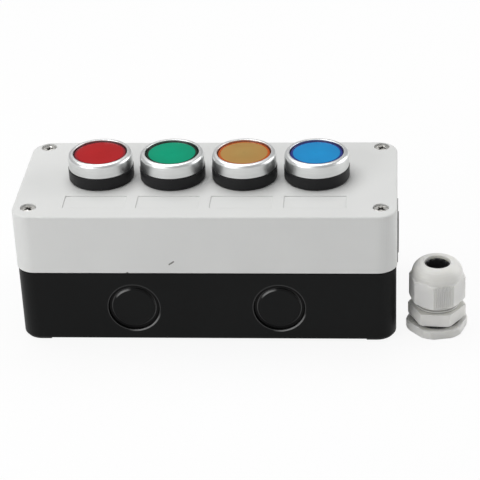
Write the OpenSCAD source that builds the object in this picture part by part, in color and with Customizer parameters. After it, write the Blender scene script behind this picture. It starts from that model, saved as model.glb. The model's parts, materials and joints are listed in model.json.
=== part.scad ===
// Pushbutton control station: a two-part plastic enclosure with four illuminated
// pushbuttons for 22 mm holes, and the cable gland that stands loose beside it.
// The origin is the middle of the underside, +Z is up and -Y is the front.

/* [Enclosure] */
// Outside length of the cover
box_length = 167; // [162:1:190]
// Outside width of the cover
box_width = 72.8; // [70:0.1:90]
// Height from the feet to the top of the cover
box_height = 62; // [62:0.2:76]
// Height of the joint between the base and the cover
split_height = 34.5; // [32:0.1:37]
// Radius of the upright corners
corner_r = 9; // [8:0.5:11]
// Wall of the cover
cover_wall = 2.4; // [2:0.1:2.8]
// Thickness of the cover's top
cover_top = 2.8; // [2:0.1:3.4]
// Rounding along the cover's top edge
cover_edge_r = 0.9; // [0.6:0.1:1.2]
// How far the base's sides stand back from the cover's
base_inset = 0.4; // [0.2:0.1:0.8]
// Thickness of the base's floor
base_floor = 3; // [2.4:0.1:4]
// Rounding along the base's bottom edge
base_edge_r = 1; // [0.5:0.1:1.6]
// Height of the feet under the base
foot_height = 0.6; // [0.4:0.1:1.2]
// Length of each corner foot
foot_length = 13; // [10:1:16]
// Thickness of the rubber seal between base and cover
seal_thickness = 0.6; // [0.4:0.1:1]

/* [Cover screws] */
// Distance from each side of the cover to its screws, before the offset of the row
screw_inset = 7.1; // [6.8:0.1:7.4]
// Diameter of the screw heads
screw_head_d = 6.6; // [6:0.1:7]
// Diameter of the screw shanks
screw_shank_d = 3.8; // [3.4:0.1:4]
// Length of the screws under the head
screw_length = 40; // [36:1:44]
// How far the screw heads lie below the cover's top
screw_recess = 0.5; // [0.2:0.1:1.2]

/* [Labels] */
// Length of each label recess
label_length = 27; // [20:1:30]
// Width of each label recess
label_width = 11; // [8:0.5:12]
// Depth of each label recess
label_depth = 0.3; // [0.2:0.1:0.8]

/* [Cable entries] */
// Diameter of the disc that is knocked out
knockout_d = 18.8; // [18:0.1:20.4]
// Width of the groove around the disc
knockout_groove = 1.9; // [1.6:0.1:2.6]
// Height of the centres of the front and back discs
knockout_height = 16.7; // [16:0.1:18]
// Wall that is left at a disc
knockout_wall = 2; // [1.8:0.1:2.4]
// Radius of the tongue that rises from the base at each end
tongue_r = 15; // [14:0.5:17]
// Height of the centre of the tongue's arch and of its disc
tongue_height = 35; // [34.5:0.5:37]
// How far the tongues stand out from the cover's ends
tongue_proud = 0.3; // [0.2:0.1:1]
// How far the end discs stand out from the tongues
disc_proud = 0.3; // [0.2:0.1:1]

/* [Wall mounting] */
// Distance between the mounting holes along the box
mounting_length = 120; // [112:1:126]
// Distance between the mounting holes across the box
mounting_width = 44; // [40:1:46]
// Diameter of the mounting holes
mounting_hole_d = 5.8; // [5.3:0.1:6]

/* [Pushbuttons] */
// How far the pushbuttons and the cover screws stand behind the middle of the box
row_offset = 2; // [0:0.1:2]
// Distance between neighbouring pushbuttons
button_pitch = 32; // [31:0.5:36]
// Diameter of the hole in the cover for each pushbutton
panel_hole_d = 22.3; // [22.2:0.1:22.8]
// Diameter of the black collar
collar_d = 29; // [28.8:0.1:30]
// Height of the black collar
collar_height = 5.5; // [4.6:0.1:6.4]
// Diameter of the metal bezel
bezel_d = 28.5; // [28.2:0.1:28.8]
// Height of the metal bezel
bezel_height = 6.4; // [6:0.1:7]
// Diameter of the opening in the bezel
bezel_opening_d = 23.9; // [23.7:0.1:24.2]
// Diameter of the coloured lens
lens_d = 23.3; // [23:0.1:23.5]
// Height of the coloured lens with its skirt
lens_height = 5.7; // [5:0.1:6]
// How far the lens lies below the bezel's top
lens_recess = 0.5; // [0.2:0.1:0.9]
// Travel of each button
button_travel = 4; // [3:0.1:4]
// Diameter of the barrel that passes through the cover
barrel_d = 21.8; // [21.6:0.1:22]
// Length of the barrel below the top of the cover
barrel_length = 16.2; // [16:0.1:18]
// Thickness of the rubber gasket under the collar
gasket_thickness = 0.4; // [0.4:0.1:1]
// Diameter of the ring nut behind the cover
ring_nut_d = 29; // [27:0.5:30]
// Height of the ring nut
ring_nut_height = 5; // [4:0.5:6]
// Diameter of the return spring's wire
spring_wire = 0.8; // [0.6:0.05:0.9]
// Turns of the return spring
spring_turns = 5; // [4:1:6]

/* [Contact blocks] */
// Size of a contact block along the box
block_length = 27; // [26:0.5:29]
// Size of a contact block across the box
block_width = 34; // [32:1:40]
// Height of a contact block
block_height = 27.5; // [27:0.5:30]
// Diameter of the lamp
lamp_d = 9.6; // [8:0.1:10]

/* [Cable gland] */
// Distance from the enclosure's end to the gland's axis
gland_distance = 17.5; // [16.5:0.1:46.5]
// Place of the gland's axis across the box
gland_y = -21.8; // [-40:0.1:20]
// Across the corners of the eight-sided cap nut
cap_nut_d = 25; // [24.6:0.1:27]
// Height of the cap nut with its dome
cap_nut_height = 17.2; // [17:0.1:20]
// Diameter of the hole in the cap nut
cap_hole_d = 11.4; // [11.2:0.1:12]
// Across the flats of the body's hexagon
gland_hex = 22.1; // [21:0.1:25]
// Height of the body's hexagon
gland_hex_height = 5.8; // [4:0.1:6]
// Diameter of the gland's mounting thread
gland_thread_d = 18.6; // [18:0.1:18.8]
// Height of the locknut
locknut_height = 4; // [3.4:0.1:5]
// Diameter over the locknut's rounded corners
locknut_d = 27.2; // [26.4:0.1:28]
// Diameter of the cable hole in the seal
cable_d = 10; // [8:0.1:10]

/* [Hidden] */
COLOURS = ["red", "green", "amber", "blue"];
LENS_COLOURS = ["#b8202a", "#12966b", "#b98a3c", "#2a8bd0"];
PIECES = ["lens", "diffuser", "plunger", "spring", "head", "bezel", "gasket", "contact_block",
          "contact_slider", "contact_bridge", "terminals", "lamp"];

$fn = 96;
hull_facets = 48;
edge_steps = 4;
// Cuts run this far past the faces that they open
overrun = 1;

GREY = "#d5d6d3";
BLACK = "#1d1e1f";
RUBBER = "#0f0f10";
STEEL = "#a9abae";
ALUMINIUM = "#cfd2d4";
BRASS = "#b9975b";
WHITE = "#eceae2";

// Base, lip and seal
lip_gap = 0.2;
lip_thickness = 1.2;
lip_height = 2.5;
seal_inset = 0.8;
rim_z = split_height - seal_thickness;
base_length = box_length - 2 * base_inset;
base_width = box_width - 2 * base_inset;
base_corner_r = corner_r - base_inset;
inner_inset = cover_wall + lip_gap + lip_thickness;
inner_length = box_length - 2 * inner_inset;
inner_width = box_width - 2 * inner_inset;
inner_corner_r = corner_r - inner_inset;
floor_z = foot_height + base_floor;

// Cover screws, their pillars in the cover and their posts in the base
pillar_d = 9;
screw_clearance = 0.6;
pilot_clearance = 0.1;
screw_head_height = 2.4;
screw_seat_clearance = 0.4;
screw_x = box_length / 2 - screw_inset;
screw_y = box_width / 2 - screw_inset;
screw_top_z = box_height - screw_recess;
screw_seat_z = screw_top_z - screw_head_height;
screw_tip_z = screw_seat_z - screw_length;
screw_tip_height = 2;
screw_tip_d = 1.8;
screw_tip_room = 1;
screw_crown = 0.5;
drive_width = 1.1;
drive_length = 4.2;
drive_depth = 1.5;

// Cable entries
nut_pocket_clearance = 0.7;
groove_depth = 1.2;
groove_flare = 0.4;
tongue_foot = 6;
tongue_lip = 1;
nut_pocket_d = locknut_d + 2 * nut_pocket_clearance;
groove_d = knockout_d + 2 * knockout_groove;
tongue_face_x = box_length / 2 + tongue_proud;
gland_x = box_length / 2 + gland_distance;
tongue_back_x = box_length / 2 - cover_wall - lip_gap;
knockout_x = button_pitch;

// Wall mounting
mounting_pad_d = 10;
mounting_boss_d = 9;
mounting_boss_height = 2;

// Label recesses
label_gap = 4.2;
label_y = row_offset - collar_d / 2 - label_gap - label_width / 2;

// Pushbutton, from the cover's top upwards and downwards
running_clearance = 0.1;
travel_clearance = 0.3;
collar_edge = 0.4;
spigot_height = 3.6;
bezel_wall = 0.95;
spigot_clearance = 0.1;
bezel_lip = 1.7;
bezel_edge_r = 1.6;
bezel_rim_r = 0.35;
chamber_clearance = 0.3;
lens_thickness = 1.4;
lens_skirt = 1.1;
lens_edge = 0.7;
lens_edge_steps = 3;
diffuser_thickness = 1.2;
diffuser_clearance = 0.15;
plunger_flange = 1.4;
plunger_body = 14.4;
plunger_bore_d = 13;
plunger_wall = 1;
shelf_thickness = 1.5;
shelf_clearance = 0.2;
clip_gap = 0.2;
clip_thickness = 1.2;
clip_width = 1;
barrel_wall = 1.7;
gasket_d = 28;
gasket_clearance = 0.1;
nut_slots = 8;
nut_slot_width = 3;
nut_slot_depth = 1.2;
spring_sides = 6;
spring_rings = 12;
spring_gap = 0.05;

collar_z = box_height + gasket_thickness;
collar_top = collar_z + collar_height;
spigot_top = collar_top + spigot_height;
bezel_top = collar_top + bezel_height;
bezel_inner_d = bezel_d - 2 * bezel_wall;
spigot_d = bezel_inner_d - 2 * spigot_clearance;
chamber_d = lens_d + 2 * chamber_clearance;
lens_top = bezel_top - lens_recess;
lens_bottom = lens_top - lens_height;
chamber_floor = lens_bottom - button_travel - travel_clearance;
lens_inner_d = lens_d - 2 * lens_skirt;
diffuser_d = lens_inner_d - 2 * diffuser_clearance;
diffuser_z = lens_top - lens_thickness - diffuser_thickness;
barrel_bore_d = barrel_d - 2 * barrel_wall;
barrel_bottom = box_height - barrel_length;
block_bottom = barrel_bottom - block_height;
shelf_z = barrel_bottom + shelf_thickness;
plunger_d = barrel_bore_d - 2 * running_clearance;
neck_d = plunger_bore_d + 2 * plunger_wall;
shoulder_z = diffuser_z - plunger_body;
shelf_bore_d = neck_d + 2 * shelf_clearance;
clip_top = barrel_bottom - clip_gap;
clip_d = shelf_bore_d + 2 * clip_width;
plunger_bottom = clip_top - clip_thickness;
spring_r = (barrel_bore_d + neck_d) / 4;
spring_low = shelf_z + spring_wire / 2 + spring_gap;
spring_high = shoulder_z - spring_wire / 2 - spring_gap;
spring_rise = (spring_high - spring_low) / spring_turns;
echo(str("Least gap between the turns of a return spring, in mm: ", spring_rise - spring_wire));

// Contact block: a block hung on the barrel, its moving bridge and its terminals
grip_height = 4;
grip_clearance = 0.1;
well_clearance = 0.5;
well_floor = plunger_bottom - button_travel - travel_clearance;
socket_clearance = 0.15;
socket_wall = 1.3;
socket_floor = 4;
slider_clearance = 0.2;
slider_width = 3.2;
slider_depth = 2.2;
bridge_length = 20;
bridge_width = 1.6;
bridge_thickness = 0.8;
bridge_drop = 13;
contact_gap = 0.1;
contact_room = 2.5;
chamber_room_y = 8;
chamber_room_x = 22;
chamber_above = 4.6;
strip_width = 4;
strip_thickness = 1;
strip_x = 8;
strip_fit = 0.1;
terminal_y = 12.5;
terminal_head_d = 6;
terminal_head_height = 2;
terminal_shank_d = 3.2;
terminal_shank_length = 6;
terminal_fit = 0.1;
terminal_slot = 0.8;
terminal_slot_depth = 1;
foot_side = 5;
lamp_over = 3;
block_top = barrel_bottom;
socket_bottom = block_bottom + socket_floor;
slider_y = lamp_d / 2 + socket_clearance + socket_wall + slider_clearance + slider_depth / 2;
bridge_z = plunger_bottom - bridge_drop;
contact_z = bridge_z - button_travel - contact_gap;
chamber_low = contact_z - contact_room;
chamber_high = bridge_z + bridge_thickness + chamber_above;
lamp_top = box_height + lamp_over;

// Cable gland, from the surface that it stands on upwards
gland_pitch = 1.41;
thread_depth = 0.6;
thread_lift = 0.3;
washer_gap = 0.5;
washer_thickness = 1.1;
washer_d = 20.6;
thread_fit = 0.15;
upper_thread_d = 20;
upper_thread_length = 8.5;
cap_gap = 3.6;
claw_d = 15.2;
claw_length = 4;
claw_slot = 1;
claw_count = 8;
body_bore_d = 11.2;
seal_d = 13.6;
seal_fit = 0.2;
seal_length = 10.6;
seal_neck_fit = 0.2;
seal_neck_inset = 1.3;
seal_shelf = 2.6;
cap_thread_room = 8.6;
cap_cone_d = 17.6;
cap_shoulder = 4;
cap_shoulder_gap = 0.2;
cap_cone_top_d = 14.2;
dome_d = 22.6;
dome_foot_d = 23;
dome_top_d = 13.4;
dome_height = 5.6;
dome_steps = 7;
dome_wall_height = 0.5;
shoulder_height = 1;
cap_chamfer = 0.4;
cap_rim = 0.3;
rib_count = 10;
rib_depth = 0.25;
rib_share = 0.5;
rib_margin = 0.3;
hex_chamfer = 0.5;
locknut_hex = 25;
locknut_chamfer = 0.5;
dimple_d = 1;
dimple_depth = 0.4;
dimple_r = 11.4;
cap_nut_turn = -8.8;
gland_hex_turn = -5;
locknut_turn = 11;
dimple_turns = [200, 318];
hex_z = locknut_height + washer_gap + washer_thickness;
thread_z = hex_z + gland_hex_height;
cap_z = thread_z + cap_gap;
cap_top = cap_z + cap_nut_height;
body_top = thread_z + upper_thread_length;
claw_top = body_top + claw_length;
seal_top = cap_top - cap_shoulder - cap_shoulder_gap;
seal_neck_r = cap_hole_d / 2 - seal_neck_fit;
seal_floor = seal_top - seal_length - seal_shelf;
cap_inner_d = upper_thread_d + 2 * thread_fit;
locknut_bore_d = gland_thread_d + 2 * thread_fit;
cap_corner_r = cap_nut_d / 2;
cap_flat_r = cap_corner_r * cos(180 / 8);
cap_side = 2 * cap_corner_r * sin(180 / 8);

// Points of a quarter circle around a centre, from one angle to another
function arc(x, y, r, from, to, steps) =
    [for (i = [0 : steps]) let (a = from + (to - from) * i / steps) [x + r * cos(a), y + r * sin(a)]];

// Half section of a round post whose top edge is rounded
function rounded_profile(r, height, edge) =
    concat([[0, 0], [r, 0]], arc(r - edge, height - edge, edge, 0, 90, edge_steps), [[0, height]]);

// Half section of a threaded length, with its crests at r
function thread_profile(r, z, length, pitch, depth) =
    let (count = floor(length / pitch), rest = (length - count * pitch) / 2)
    concat([[0, z], [r - depth, z]],
        [for (i = [0 : count - 1], p = [[0, 0], [depth, 0.3], [depth, 0.5], [0, 0.8]])
            [r - depth + p[0], z + rest + (i + p[1]) * pitch]],
        [[r - depth, z + length], [0, z + length]]);

// Flat outline with four round corners
module rounded_rectangle(length, width, r) {
    square([length - 2 * r, width], center = true);
    square([length, width - 2 * r], center = true);
    for (x = [-1, 1], y = [-1, 1])
        translate([x * (length / 2 - r), y * (width / 2 - r)])
            circle(r);
}

// Upright block with round corners
module plain_block(length, width, r, low, high) {
    translate([0, 0, low])
        linear_extrude(high - low)
            rounded_rectangle(length, width, r);
}

// Upright block with round corners and a rounded top edge
module soft_block(length, width, r, height, edge) {
    hull()
        for (x = [-1, 1], y = [-1, 1])
            translate([x * (length / 2 - r), y * (width / 2 - r), 0])
                rotate_extrude($fn = hull_facets)
                    polygon(rounded_profile(r, height, edge));
}

// Ring between two diameters
module ring(outer_d, inner_d, low, high) {
    translate([0, 0, low])
        difference() {
            cylinder(d = outer_d, h = high - low);
            translate([0, 0, -overrun])
                cylinder(d = inner_d, h = high - low + 2 * overrun);
        }
}

// Places a copy at each of the four cover screws
module at_screws() {
    for (x = [-1, 1], y = [-1, 1])
        translate([x * screw_x, row_offset + y * screw_y, 0])
            children();
}

// Places a copy at each of the four mounting holes
module at_mounting_holes() {
    for (x = [-1, 1], y = [-1, 1])
        translate([x * mounting_length / 2, y * mounting_width / 2, 0])
            children();
}

// Places a copy at both ends, as drawn for the end at +X
module at_ends() {
    children();
    mirror([1, 0, 0])
        children();
}

// Upright arch with its flat foot at a height, from one X to another
module arch(r, foot_z, low_x, high_x) {
    translate([low_x, 0, tongue_height])
        rotate([90, 0, 90])
            linear_extrude(high_x - low_x)
                intersection() {
                    union() {
                        circle(r);
                        translate([-r, foot_z - tongue_height])
                            square([2 * r, tongue_height - foot_z]);
                    }
                    translate([-r, foot_z - tongue_height])
                        square([2 * r, tongue_height - foot_z + r]);
                }
}

// Groove around a knock-out disc, cut from a face at z = 0 downwards
module knockout_ring() {
    rotate_extrude()
        polygon([
            [knockout_d / 2, -groove_depth],
            [groove_d / 2 - groove_flare, -groove_depth],
            [groove_d / 2, -groove_flare],
            [groove_d / 2 + groove_flare, overrun],
            [knockout_d / 2 - groove_flare, overrun],
            [knockout_d / 2 - groove_flare, 0],
            [knockout_d / 2, -groove_flare]
        ]);
}

// Places a copy on the front and back faces, at the four knock-outs there
module at_side_knockouts() {
    for (x = [-1, 1], y = [-1, 1])
        translate([x * knockout_x, y * base_width / 2, knockout_height])
            rotate([-90 * y, 0, 0])
                children();
}

// Places a copy on the two end faces, at the tongues
module at_end_knockouts() {
    for (x = [-1, 1])
        translate([x * tongue_face_x, 0, tongue_height])
            rotate([0, 90 * x, 0])
                children();
}

// Shell of the base before its holes: sides, rim, lip, tongues and feet
module base_shell() {
    difference() {
        union() {
            translate([0, 0, rim_z])
                mirror([0, 0, 1])
                    soft_block(base_length, base_width, base_corner_r, rim_z - foot_height, base_edge_r);
            plain_block(box_length - 2 * (cover_wall + lip_gap), box_width - 2 * (cover_wall + lip_gap),
                corner_r - cover_wall - lip_gap, rim_z - overrun, rim_z + lip_height);
            at_ends() {
                arch(tongue_r, rim_z - tongue_foot, tongue_back_x, tongue_face_x);
                arch(tongue_r + seal_thickness + tongue_lip, rim_z, inner_length / 2, tongue_back_x);
            }
            for (x = [-1, 1], y = [-1, 1])
                intersection() {
                    translate([x * (base_length - foot_length) / 2, y * (base_width - foot_length) / 2,
                        foot_height])
                        cube([foot_length, foot_length, 2 * foot_height], center = true);
                    plain_block(base_length - 2 * base_edge_r, base_width - 2 * base_edge_r,
                        base_corner_r - base_edge_r, 0, floor_z);
                }
            at_mounting_holes()
                cylinder(d = mounting_pad_d, h = floor_z);
        }
        plain_block(inner_length, inner_width, inner_corner_r, floor_z, tongue_height + 2 * tongue_r);
        at_side_knockouts() {
            translate([0, 0, -inner_inset - overrun])
                cylinder(d = nut_pocket_d, h = inner_inset + overrun - knockout_wall);
        }
        at_end_knockouts() {
            translate([0, 0, -inner_inset - overrun])
                cylinder(d = nut_pocket_d, h = inner_inset + overrun - knockout_wall);
        }
    }
}

// Base of the enclosure: a black box, open at the top, with six knock-outs
module base() {
    color(BLACK)
    difference() {
        union() {
            base_shell();
            intersection() {
                at_screws()
                    cylinder(d = pillar_d, h = split_height);
                plain_block(inner_length + lip_thickness, inner_width + lip_thickness,
                    inner_corner_r + lip_thickness / 2, base_edge_r + foot_height, split_height);
            }
            at_mounting_holes()
                cylinder(d = mounting_boss_d, h = floor_z + mounting_boss_height);
            at_end_knockouts()
                translate([0, 0, -overrun])
                    cylinder(d1 = knockout_d, d2 = knockout_d - groove_flare, h = overrun + disc_proud);
        }
        at_screws() {
            translate([0, 0, split_height])
                cylinder(d = pillar_d + 2 * lip_gap, h = lip_height + overrun);
            translate([0, 0, screw_tip_z - screw_tip_room])
                cylinder(d = screw_shank_d + 2 * pilot_clearance, h = box_height);
        }
        at_mounting_holes()
            translate([0, 0, -overrun])
                cylinder(d = mounting_hole_d, h = floor_z + mounting_boss_height + 2 * overrun);
        at_side_knockouts()
            knockout_ring();
        at_end_knockouts()
            difference() {
                knockout_ring();
                translate([0, 0, -overrun])
                    cylinder(d = knockout_d, h = 3 * overrun);
            }
    }
}

// Rubber seal that follows the rim and climbs over both tongues
module cover_seal() {
    outer_inset = 2 * seal_inset;
    hole_inset = 2 * cover_wall;
    color(RUBBER)
    difference() {
        union() {
            plain_block(box_length - outer_inset, box_width - outer_inset, corner_r - seal_inset,
                rim_z, split_height);
            at_ends()
                arch(tongue_r + seal_thickness, rim_z, box_length / 2 - cover_wall,
                    box_length / 2 - seal_inset);
        }
        plain_block(box_length - hole_inset, box_width - hole_inset, corner_r - cover_wall,
            rim_z - overrun, tongue_height + 2 * tongue_r);
        at_ends()
            arch(tongue_r, rim_z - overrun, inner_length / 2, tongue_face_x + overrun);
    }
}

// Cover of the enclosure: a grey box, open at the bottom, with four round holes in its top
module cover() {
    inside_top = box_height - cover_top;
    color(GREY)
    difference() {
        union() {
            difference() {
                translate([0, 0, split_height])
                    soft_block(box_length, box_width, corner_r, box_height - split_height, cover_edge_r);
                plain_block(box_length - 2 * cover_wall, box_width - 2 * cover_wall, corner_r - cover_wall,
                    split_height - overrun, inside_top);
            }
            intersection() {
                at_screws()
                    translate([0, 0, split_height])
                        cylinder(d = pillar_d, h = inside_top - split_height + cover_top / 2);
                plain_block(box_length - cover_wall, box_width - cover_wall, corner_r - cover_wall / 2,
                    split_height, inside_top + cover_top / 2);
            }
        }
        for (i = [0 : 3])
            translate([(i - 1.5) * button_pitch, row_offset, inside_top - overrun])
                cylinder(d = panel_hole_d, h = cover_top + 2 * overrun);
        for (i = [0 : 3])
            translate([(i - 1.5) * button_pitch - label_length / 2, label_y - label_width / 2,
                box_height - label_depth])
                cube([label_length, label_width, label_depth + overrun]);
        at_screws() {
            translate([0, 0, split_height - overrun])
                cylinder(d = screw_shank_d + screw_clearance, h = box_height);
            translate([0, 0, screw_seat_z])
                cylinder(d = screw_head_d + screw_seat_clearance, h = box_height);
        }
        at_ends()
            arch(tongue_r + seal_thickness, split_height - overrun, inner_length / 2,
                box_length / 2 + overrun);
    }
}

// Four screws that hold the cover down, with cross recesses
module cover_screws() {
    color(STEEL)
    at_screws()
        difference() {
            union() {
                translate([0, 0, screw_seat_z])
                    cylinder(d = screw_head_d, h = screw_head_height - screw_crown);
                translate([0, 0, screw_top_z - screw_crown])
                    cylinder(d1 = screw_head_d, d2 = screw_head_d - 2 * screw_crown, h = screw_crown);
                translate([0, 0, screw_tip_z + screw_tip_height])
                    cylinder(d = screw_shank_d, h = screw_length - screw_tip_height);
                translate([0, 0, screw_tip_z])
                    cylinder(d1 = screw_tip_d, d2 = screw_shank_d, h = screw_tip_height);
            }
            for (a = [0, 90])
                rotate(a + 35)
                    translate([-drive_length / 2, -drive_width / 2, screw_top_z - drive_depth])
                        cube([drive_length, drive_width, drive_depth + overrun]);
        }
}

// Places a copy at one pushbutton
module at_button(i) {
    translate([(i - 1.5) * button_pitch, row_offset, 0])
        children();
}

// Coloured cap that is pressed: a disc with a softened edge and a skirt
module lens(i) {
    edge_top = arc(lens_d / 2 - lens_edge, lens_top - lens_edge, lens_edge, 0, 90, lens_edge_steps);
    color(LENS_COLOURS[i])
    rotate_extrude()
        polygon(concat(
            [[lens_inner_d / 2, lens_bottom], [lens_d / 2, lens_bottom]],
            edge_top,
            [[0, lens_top], [0, lens_top - lens_thickness], [lens_inner_d / 2, lens_top - lens_thickness]]));
}

// White disc under the lens that spreads the lamp's light
module diffuser() {
    color(WHITE)
    translate([0, 0, diffuser_z])
        cylinder(d = diffuser_d, h = diffuser_thickness);
}

// Sliding sleeve under the lens, with a shoulder for the spring and a clip at its foot
module plunger() {
    color(WHITE)
    difference() {
        union() {
            translate([0, 0, diffuser_z - plunger_flange])
                cylinder(d = diffuser_d, h = plunger_flange);
            translate([0, 0, shoulder_z])
                cylinder(d = plunger_d, h = plunger_body - plunger_flange);
            translate([0, 0, plunger_bottom])
                cylinder(d = neck_d, h = shoulder_z - plunger_bottom);
            translate([0, 0, plunger_bottom])
                cylinder(d = clip_d, h = clip_thickness);
        }
        translate([0, 0, plunger_bottom - overrun])
            cylinder(d = plunger_bore_d, h = diffuser_z - plunger_bottom + 2 * overrun);
    }
}

// Point on the spring's wire: ring number and side number
function spring_point(ring_index, side) =
    let (turn = ring_index / spring_rings,
         a = 360 * turn,
         z = spring_low + spring_rise * turn,
         r = spring_r + spring_wire / 2 * cos(360 * side / spring_sides))
    [r * cos(a), r * sin(a), z + spring_wire / 2 * sin(360 * side / spring_sides)];

// Return spring: one unbroken coil of wire
module spring() {
    last = spring_turns * spring_rings;
    points = [for (i = [0 : last], s = [0 : spring_sides - 1]) spring_point(i, s)];
    sides = [for (i = [0 : last - 1], s = [0 : spring_sides - 1], half = [0, 1])
        let (n = (s + 1) % spring_sides, a = i * spring_sides + s, b = i * spring_sides + n)
        half == 0 ? [a, a + spring_sides, b] : [b, a + spring_sides, b + spring_sides]];
    ends = [for (s = [1 : spring_sides - 2], far = [0, 1])
        far == 0 ? [0, s, s + 1]
                 : [last * spring_sides, last * spring_sides + s + 1, last * spring_sides + s]];
    color(STEEL)
    polyhedron(points, [for (f = concat(sides, ends)) [f[2], f[1], f[0]]]);
}

// Black body of the pushbutton: collar, threaded spigot for the bezel and barrel
module head() {
    color(BLACK)
    difference() {
        union() {
            rotate_extrude()
                polygon([
                    [0, collar_z],
                    [collar_d / 2 - collar_edge, collar_z],
                    [collar_d / 2, collar_z + collar_edge],
                    [collar_d / 2, collar_top - collar_edge],
                    [collar_d / 2 - collar_edge, collar_top],
                    [0, collar_top]
                ]);
            translate([0, 0, collar_top - overrun])
                cylinder(d = spigot_d, h = spigot_height + overrun);
            translate([0, 0, barrel_bottom])
                cylinder(d = barrel_d, h = barrel_length + gasket_thickness + overrun);
        }
        translate([0, 0, chamber_floor])
            cylinder(d = chamber_d, h = spigot_top - chamber_floor + overrun);
        translate([0, 0, shelf_z])
            cylinder(d = barrel_bore_d, h = chamber_floor - shelf_z + overrun);
        translate([0, 0, barrel_bottom - overrun])
            cylinder(d = shelf_bore_d, h = shelf_thickness + 2 * overrun);
    }
}

// Metal ring that screws onto the head, with a rounded top around the lens
module bezel() {
    color(ALUMINIUM)
    rotate_extrude()
        polygon(concat(
            [[bezel_inner_d / 2, collar_top], [bezel_d / 2, collar_top]],
            arc(bezel_d / 2 - bezel_edge_r, bezel_top - bezel_edge_r, bezel_edge_r, 0, 90, 2 * edge_steps),
            arc(bezel_opening_d / 2 + bezel_rim_r, bezel_top - bezel_rim_r, bezel_rim_r, 90, 180, edge_steps),
            [[bezel_opening_d / 2, bezel_top - bezel_lip], [bezel_inner_d / 2, bezel_top - bezel_lip]]));
}

// Rubber gasket between the collar and the cover
module gasket() {
    color(RUBBER)
    ring(gasket_d, barrel_d + 2 * gasket_clearance, box_height, collar_z);
}

// Ring nuts that clamp the four pushbuttons from behind the cover
module ring_nuts() {
    nut_top = box_height - cover_top;
    color(BLACK)
    for (i = [0 : 3])
        at_button(i)
            difference() {
                ring(ring_nut_d, barrel_d + 2 * running_clearance, nut_top - ring_nut_height, nut_top);
                for (k = [0 : nut_slots - 1])
                    rotate(360 * k / nut_slots)
                        translate([ring_nut_d / 2 - nut_slot_depth, -nut_slot_width / 2,
                            nut_top - ring_nut_height - overrun])
                            cube([nut_slot_depth + overrun, nut_slot_width, ring_nut_height]);
            }
}

// Block that grips the barrel's end and holds the lamp and the contacts
module contact_block() {
    color(BLACK)
    difference() {
        union() {
            translate([-block_length / 2, -block_width / 2, block_bottom])
                cube([block_length, block_width, block_top - block_bottom]);
            translate([0, 0, block_top])
                cylinder(d = block_length, h = grip_height);
        }
        translate([0, 0, block_top])
            cylinder(d = barrel_d + 2 * grip_clearance, h = grip_height + overrun);
        translate([0, 0, well_floor])
            cylinder(d = clip_d + 2 * well_clearance, h = block_top - well_floor + overrun);
        translate([0, 0, socket_bottom])
            cylinder(d = lamp_d + 2 * socket_clearance, h = block_top - socket_bottom);
        translate([-slider_width / 2 - slider_clearance, slider_y - slider_depth / 2 - slider_clearance,
            chamber_low])
            cube([slider_width + 2 * slider_clearance, slider_depth + 2 * slider_clearance,
                well_floor - chamber_low + overrun]);
        translate([-chamber_room_x / 2, slider_y - slider_depth / 2 - slider_clearance, chamber_low])
            cube([chamber_room_x, chamber_room_y, chamber_high - chamber_low]);
        for (x = [-1, 1], y = [-1, 1]) {
            translate([x * strip_x - strip_width / 2 - strip_fit,
                y * slider_y - strip_thickness / 2 - strip_fit, block_bottom - overrun])
                cube([strip_width + 2 * strip_fit, strip_thickness + 2 * strip_fit,
                    contact_z - block_bottom + overrun]);
            translate([x * strip_x, y * terminal_y, block_bottom - overrun])
                cylinder(d = terminal_shank_d + 2 * terminal_fit, h = terminal_shank_length + overrun);
        }
    }
}

// Plastic bar that carries the button's stroke to the contacts
module contact_slider() {
    color(LENS_COLOURS[1])
    translate([-slider_width / 2, slider_y - slider_depth / 2, bridge_z + bridge_thickness])
        cube([slider_width, slider_depth, plunger_bottom - bridge_z - bridge_thickness]);
}

// Metal bridge that closes the two contacts below it
module contact_bridge() {
    color(BRASS)
    translate([-bridge_length / 2, slider_y - bridge_width / 2, bridge_z])
        cube([bridge_length, bridge_width, bridge_thickness]);
}

// Four bent strips, two for the contacts and two for the lamp, each with a foot for its screw
module terminals() {
    color(BRASS)
    for (x = [-1, 1], y = [0, 1])
        mirror([0, y, 0])
            difference() {
                union() {
                    translate([x * strip_x - strip_width / 2, slider_y - strip_thickness / 2,
                        block_bottom - strip_thickness])
                        cube([strip_width, strip_thickness, contact_z - block_bottom + strip_thickness]);
                    translate([x * strip_x - foot_side / 2, slider_y - strip_thickness / 2,
                        block_bottom - strip_thickness])
                        cube([foot_side, terminal_y + foot_side / 2 - slider_y + strip_thickness / 2,
                            strip_thickness]);
                }
                translate([x * strip_x, terminal_y, block_bottom - strip_thickness - overrun])
                    cylinder(d = terminal_shank_d + 2 * terminal_fit, h = strip_thickness + 2 * overrun);
            }
}

// Sixteen slotted screws under the contact blocks
module terminal_screws() {
    head_top = block_bottom - strip_thickness;
    color(STEEL)
    for (i = [0 : 3])
        at_button(i)
            for (x = [-1, 1], y = [-1, 1])
                translate([x * strip_x, y * terminal_y, 0])
                    difference() {
                        union() {
                            translate([0, 0, head_top - terminal_head_height])
                                cylinder(d = terminal_head_d, h = terminal_head_height);
                            translate([0, 0, head_top - terminal_head_height / 2])
                                cylinder(d = terminal_shank_d, h = terminal_shank_length);
                        }
                        translate([-terminal_head_d, -terminal_slot / 2,
                            head_top - terminal_head_height - overrun])
                            cube([2 * terminal_head_d, terminal_slot, terminal_slot_depth + overrun]);
                    }
}

// Lamp on the axis of the pushbutton, with a domed top
module lamp(i) {
    color(LENS_COLOURS[i])
    rotate_extrude()
        polygon(concat(
            [[0, socket_bottom], [lamp_d / 2, socket_bottom]],
            arc(0, lamp_top - lamp_d / 2, lamp_d / 2, 0, 90, 2 * edge_steps)));
}

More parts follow.
